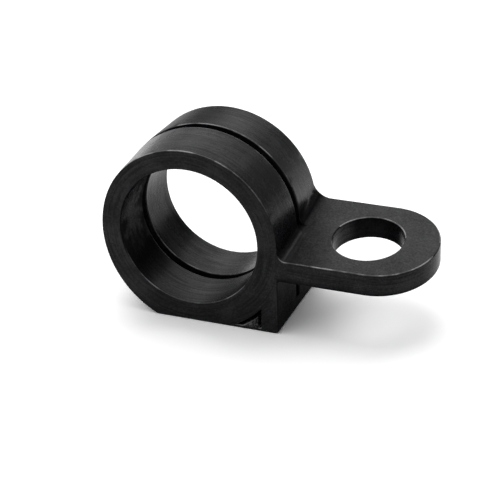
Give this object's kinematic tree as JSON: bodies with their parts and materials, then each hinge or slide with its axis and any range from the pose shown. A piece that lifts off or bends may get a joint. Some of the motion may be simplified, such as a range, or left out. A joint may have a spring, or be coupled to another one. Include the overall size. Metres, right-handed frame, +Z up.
{
  "type": "cable clip",
  "caption": "Moulded cable clip: a ring parted into two loops by a slit, on a flat foot, with a round-ended lug for a fixing bolt.",
  "frame": {"origin": "centre of the cable bore, half way along it", "axes": "+X from the ring to the lug, +Y along the cable, +Z up, away from the foot"},
  "size_m": [0.0367, 0.0126, 0.0207],
  "materials": {
    "clip_body": "black nylon, satin, with a fine moulded grain"
  },
  "bodies": {
    "root": {"clip_body": "clip_body"}
  },
  "joints": []
}
